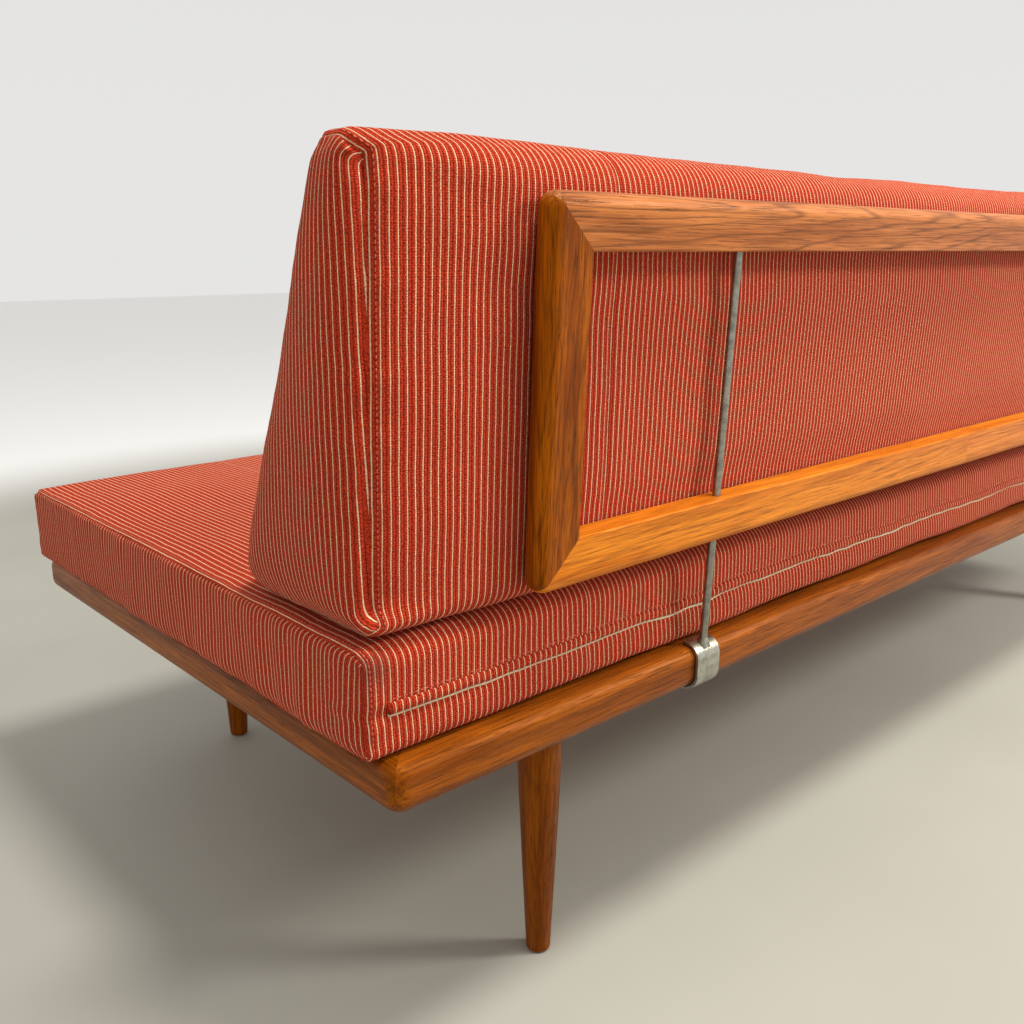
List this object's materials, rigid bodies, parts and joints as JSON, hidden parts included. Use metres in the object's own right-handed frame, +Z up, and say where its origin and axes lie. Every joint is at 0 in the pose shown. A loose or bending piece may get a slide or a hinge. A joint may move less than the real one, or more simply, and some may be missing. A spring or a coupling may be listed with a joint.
{
  "type": "daybed",
  "caption": "Teak-framed daybed sofa: slatted base on turned legs, loose striped mattress, wedge back cushion and an open back frame on steel rods clasped to the rear rail.",
  "frame": {"origin": "on the floor, at the middle of the object's bounding box in plan", "axes": "+X along the length to the right as seen from the front, -Y towards the front where people sit, +Z up"},
  "size_m": [1.95, 0.7873, 0.758],
  "materials": {
    "teak": "satin",
    "beech": "matte",
    "steel": "satin",
    "screw_steel": "satin",
    "insert_brass": "satin",
    "liner_rubber": "matte",
    "striped_fabric": "matte",
    "foam": "matte",
    "zip_tape": "matte"
  },
  "bodies": {
    "base": {"base_corner_tongues": "beech", "bearer_dowels": "beech", "front_rail": "teak", "ledger_front_centre": "beech", "ledger_front_left": "beech", "ledger_front_right": "beech", "ledger_rear_centre": "beech", "ledger_rear_left": "beech", "ledger_rear_right": "beech", "ledger_screws": "screw_steel", "left_end_rail": "teak", "leg_bearer_left": "beech", "leg_bearer_right": "beech", "leg_bolts": "screw_steel", "leg_front_left": "teak", "leg_front_right": "teak", "leg_inserts": "insert_brass", "leg_rear_left": "teak", "leg_rear_right": "teak", "rear_rail": "teak", "right_end_rail": "teak", "slat_01": "beech", "slat_02": "beech", "slat_03": "beech", "slat_04": "beech", "slat_05": "beech", "slat_06": "beech", "slat_07": "beech", "slat_08": "beech", "slat_09": "beech", "slat_10": "beech", "slat_11": "beech", "slat_12": "beech", "slat_13": "beech", "slat_14": "beech", "slat_screws": "screw_steel"},
    "back_frame": {"back_bottom_rail_left": "teak", "back_bottom_rail_right": "teak", "back_corner_tongues": "beech", "back_rod_left": "steel", "back_rod_right": "steel", "back_stile_left": "teak", "back_stile_right": "teak", "back_top_rail": "teak", "bottom_rail_tongue": "beech", "rail_strap_left": "steel", "rail_strap_right": "steel", "strap_liner_left": "liner_rubber", "strap_liner_right": "liner_rubber"},
    "mattress": {"mattress_core": "foam", "mattress_cover": "striped_fabric", "mattress_zip": "zip_tape"},
    "back_cushion": {"back_cushion_core": "foam", "back_cushion_cover": "striped_fabric", "back_cushion_zip": "zip_tape"}
  },
  "joints": [
    {"name": "mattress_lift", "type": "slide", "parent": "base", "child": "mattress", "axis": [0, 0, 1], "range_m": [0, 0.25]},
    {"name": "cushion_lift", "type": "slide", "parent": "mattress", "child": "back_cushion", "axis": [0, 0, 1], "range_m": [0, 0.4]},
    {"name": "back_unclasp", "type": "slide", "parent": "base", "child": "back_frame", "axis": [0, 1, 0], "range_m": [0, 0.12]}
  ]
}
